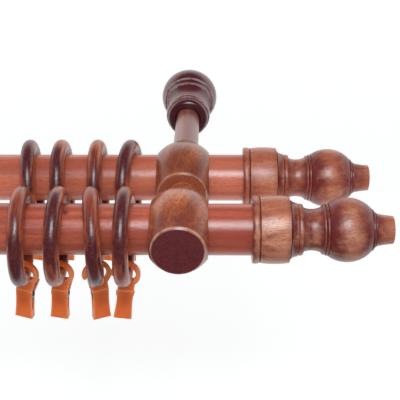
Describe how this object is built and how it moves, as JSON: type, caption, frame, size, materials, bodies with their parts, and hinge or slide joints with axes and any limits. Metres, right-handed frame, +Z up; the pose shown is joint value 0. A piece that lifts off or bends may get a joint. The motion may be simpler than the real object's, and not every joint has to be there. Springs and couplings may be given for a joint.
{
  "type": "double curtain pole",
  "caption": "Double wooden curtain pole on a stacked turned bracket with wall cup, turned finials, rings and plastic clips.",
  "frame": {"origin": "centre of the wall cup's wall face, on the axis of its screw", "axes": "+X along the poles towards the finials, +Y into the wall, +Z up"},
  "size_m": [0.2944, 0.2705, 0.0823],
  "materials": {
    "pole_wood": "reddish brown stain under gloss lacquer",
    "turned_wood": "orange-brown stain under gloss lacquer, worn at the edges",
    "dark_wood": "dark plum-brown stain under gloss lacquer",
    "raw_wood": "bare beech",
    "clip_plastic": "translucent orange, satin",
    "zinc_steel": "bright zinc"
  },
  "bodies": {
    "root": {"wall_cup": "dark_wood", "stem_rod": "turned_wood", "wall_screw": "zinc_steel", "rear_barrel": "turned_wood", "front_barrel": "turned_wood", "barrel_dowel": "raw_wood", "front_cross_dowel": "raw_wood", "front_pole": "pole_wood", "front_pole_stub": "pole_wood", "front_finial": "turned_wood", "rear_cross_dowel": "raw_wood", "rear_pole": "pole_wood", "rear_pole_stub": "pole_wood", "rear_finial": "turned_wood"},
    "front_4": {"front_4_ring": "dark_wood", "front_4_clip_hook_jaw": "clip_plastic", "front_4_clip_spring": "zinc_steel"},
    "front_4_jaw": {"front_4_clip_back_jaw": "clip_plastic"},
    "front_3": {"front_3_ring": "dark_wood", "front_3_clip_hook_jaw": "clip_plastic", "front_3_clip_spring": "zinc_steel"},
    "front_3_jaw": {"front_3_clip_back_jaw": "clip_plastic"},
    "front_2": {"front_2_ring": "dark_wood", "front_2_clip_hook_jaw": "clip_plastic", "front_2_clip_spring": "zinc_steel"},
    "front_2_jaw": {"front_2_clip_back_jaw": "clip_plastic"},
    "front_1": {"front_1_ring": "dark_wood", "front_1_clip_hook_jaw": "clip_plastic", "front_1_clip_spring": "zinc_steel"},
    "front_1_jaw": {"front_1_clip_back_jaw": "clip_plastic"},
    "rear_4": {"rear_4_ring": "dark_wood", "rear_4_clip_hook_jaw": "clip_plastic", "rear_4_clip_spring": "zinc_steel"},
    "rear_4_jaw": {"rear_4_clip_back_jaw": "clip_plastic"},
    "rear_3": {"rear_3_ring": "dark_wood", "rear_3_clip_hook_jaw": "clip_plastic", "rear_3_clip_spring": "zinc_steel"},
    "rear_3_jaw": {"rear_3_clip_back_jaw": "clip_plastic"},
    "rear_2": {"rear_2_ring": "dark_wood", "rear_2_clip_hook_jaw": "clip_plastic", "rear_2_clip_spring": "zinc_steel"},
    "rear_2_jaw": {"rear_2_clip_back_jaw": "clip_plastic"},
    "rear_1": {"rear_1_ring": "dark_wood", "rear_1_clip_hook_jaw": "clip_plastic", "rear_1_clip_spring": "zinc_steel"},
    "rear_1_jaw": {"rear_1_clip_back_jaw": "clip_plastic"}
  },
  "joints": [
    {"name": "front_4_slide", "type": "slide", "parent": "root", "child": "front_4", "axis": [1, 0, 0], "range_m": [-0.021, 0.0096]},
    {"name": "front_4_clip_open", "type": "hinge", "parent": "front_4", "child": "front_4_jaw", "pos_m": [-0.03162, -0.20303, -0.04244], "axis": [0.9889, 0.0345, -0.1444], "range_deg": [0, 20], "stiffness_Nm_per_rad": 0.05, "springref_deg": -22.92},
    {"name": "front_3_slide", "type": "slide", "parent": "front_4", "child": "front_3", "axis": [1, 0, 0], "range_m": [-0.021, 0.0009]},
    {"name": "front_3_clip_open", "type": "hinge", "parent": "front_3", "child": "front_3_jaw", "pos_m": [-0.04619, -0.20265, -0.04246], "axis": [0.9205, 0.3907, -0.0087], "range_deg": [0, 20], "stiffness_Nm_per_rad": 0.05, "springref_deg": -22.92},
    {"name": "front_2_slide", "type": "slide", "parent": "front_3", "child": "front_2", "axis": [1, 0, 0], "range_m": [-0.021, 0.0042]},
    {"name": "front_2_clip_open", "type": "hinge", "parent": "front_2", "child": "front_2_jaw", "pos_m": [-0.06846, -0.20295, -0.0424], "axis": [0.989, -0.0952, -0.1132], "range_deg": [0, 20], "stiffness_Nm_per_rad": 0.05, "springref_deg": -22.92},
    {"name": "front_1_slide", "type": "slide", "parent": "front_2", "child": "front_1", "axis": [1, 0, 0], "range_m": [-0.021, 0.0025]},
    {"name": "front_1_clip_open", "type": "hinge", "parent": "front_1", "child": "front_1_jaw", "pos_m": [-0.0885, -0.20283, -0.04238], "axis": [0.9713, -0.1888, -0.1444], "range_deg": [0, 20], "stiffness_Nm_per_rad": 0.05, "springref_deg": -22.92},
    {"name": "rear_4_slide", "type": "slide", "parent": "root", "child": "rear_4", "axis": [1, 0, 0], "range_m": [-0.019, 0.0106]},
    {"name": "rear_4_clip_open", "type": "hinge", "parent": "rear_4", "child": "rear_4_jaw", "pos_m": [-0.03419, -0.14258, -0.04243], "axis": [0.9839, 0.0688, -0.165], "range_deg": [0, 20], "stiffness_Nm_per_rad": 0.05, "springref_deg": -22.92},
    {"name": "rear_3_slide", "type": "slide", "parent": "rear_4", "child": "rear_3", "axis": [1, 0, 0], "range_m": [-0.019, 0.0019]},
    {"name": "rear_3_clip_open", "type": "hinge", "parent": "rear_3", "child": "rear_3_jaw", "pos_m": [-0.05146, -0.14255, -0.04248], "axis": [0.9956, -0.0871, -0.0349], "range_deg": [0, 20], "stiffness_Nm_per_rad": 0.05, "springref_deg": -22.92},
    {"name": "rear_2_slide", "type": "slide", "parent": "rear_3", "child": "rear_2", "axis": [1, 0, 0], "range_m": [-0.019, 0.0048]},
    {"name": "rear_2_clip_open", "type": "hinge", "parent": "rear_2", "child": "rear_2_jaw", "pos_m": [-0.07473, -0.14256, -0.04247], "axis": [0.9877, 0.0864, -0.1305], "range_deg": [0, 20], "stiffness_Nm_per_rad": 0.05, "springref_deg": -22.92},
    {"name": "rear_1_slide", "type": "slide", "parent": "rear_2", "child": "rear_1", "axis": [1, 0, 0], "range_m": [-0.019, 0.0014]},
    {"name": "rear_1_clip_open", "type": "hinge", "parent": "rear_1", "child": "rear_1_jaw", "pos_m": [-0.09369, -0.1425, -0.04243], "axis": [0.9863, 0, -0.165], "range_deg": [0, 20], "stiffness_Nm_per_rad": 0.05, "springref_deg": -22.92}
  ]
}
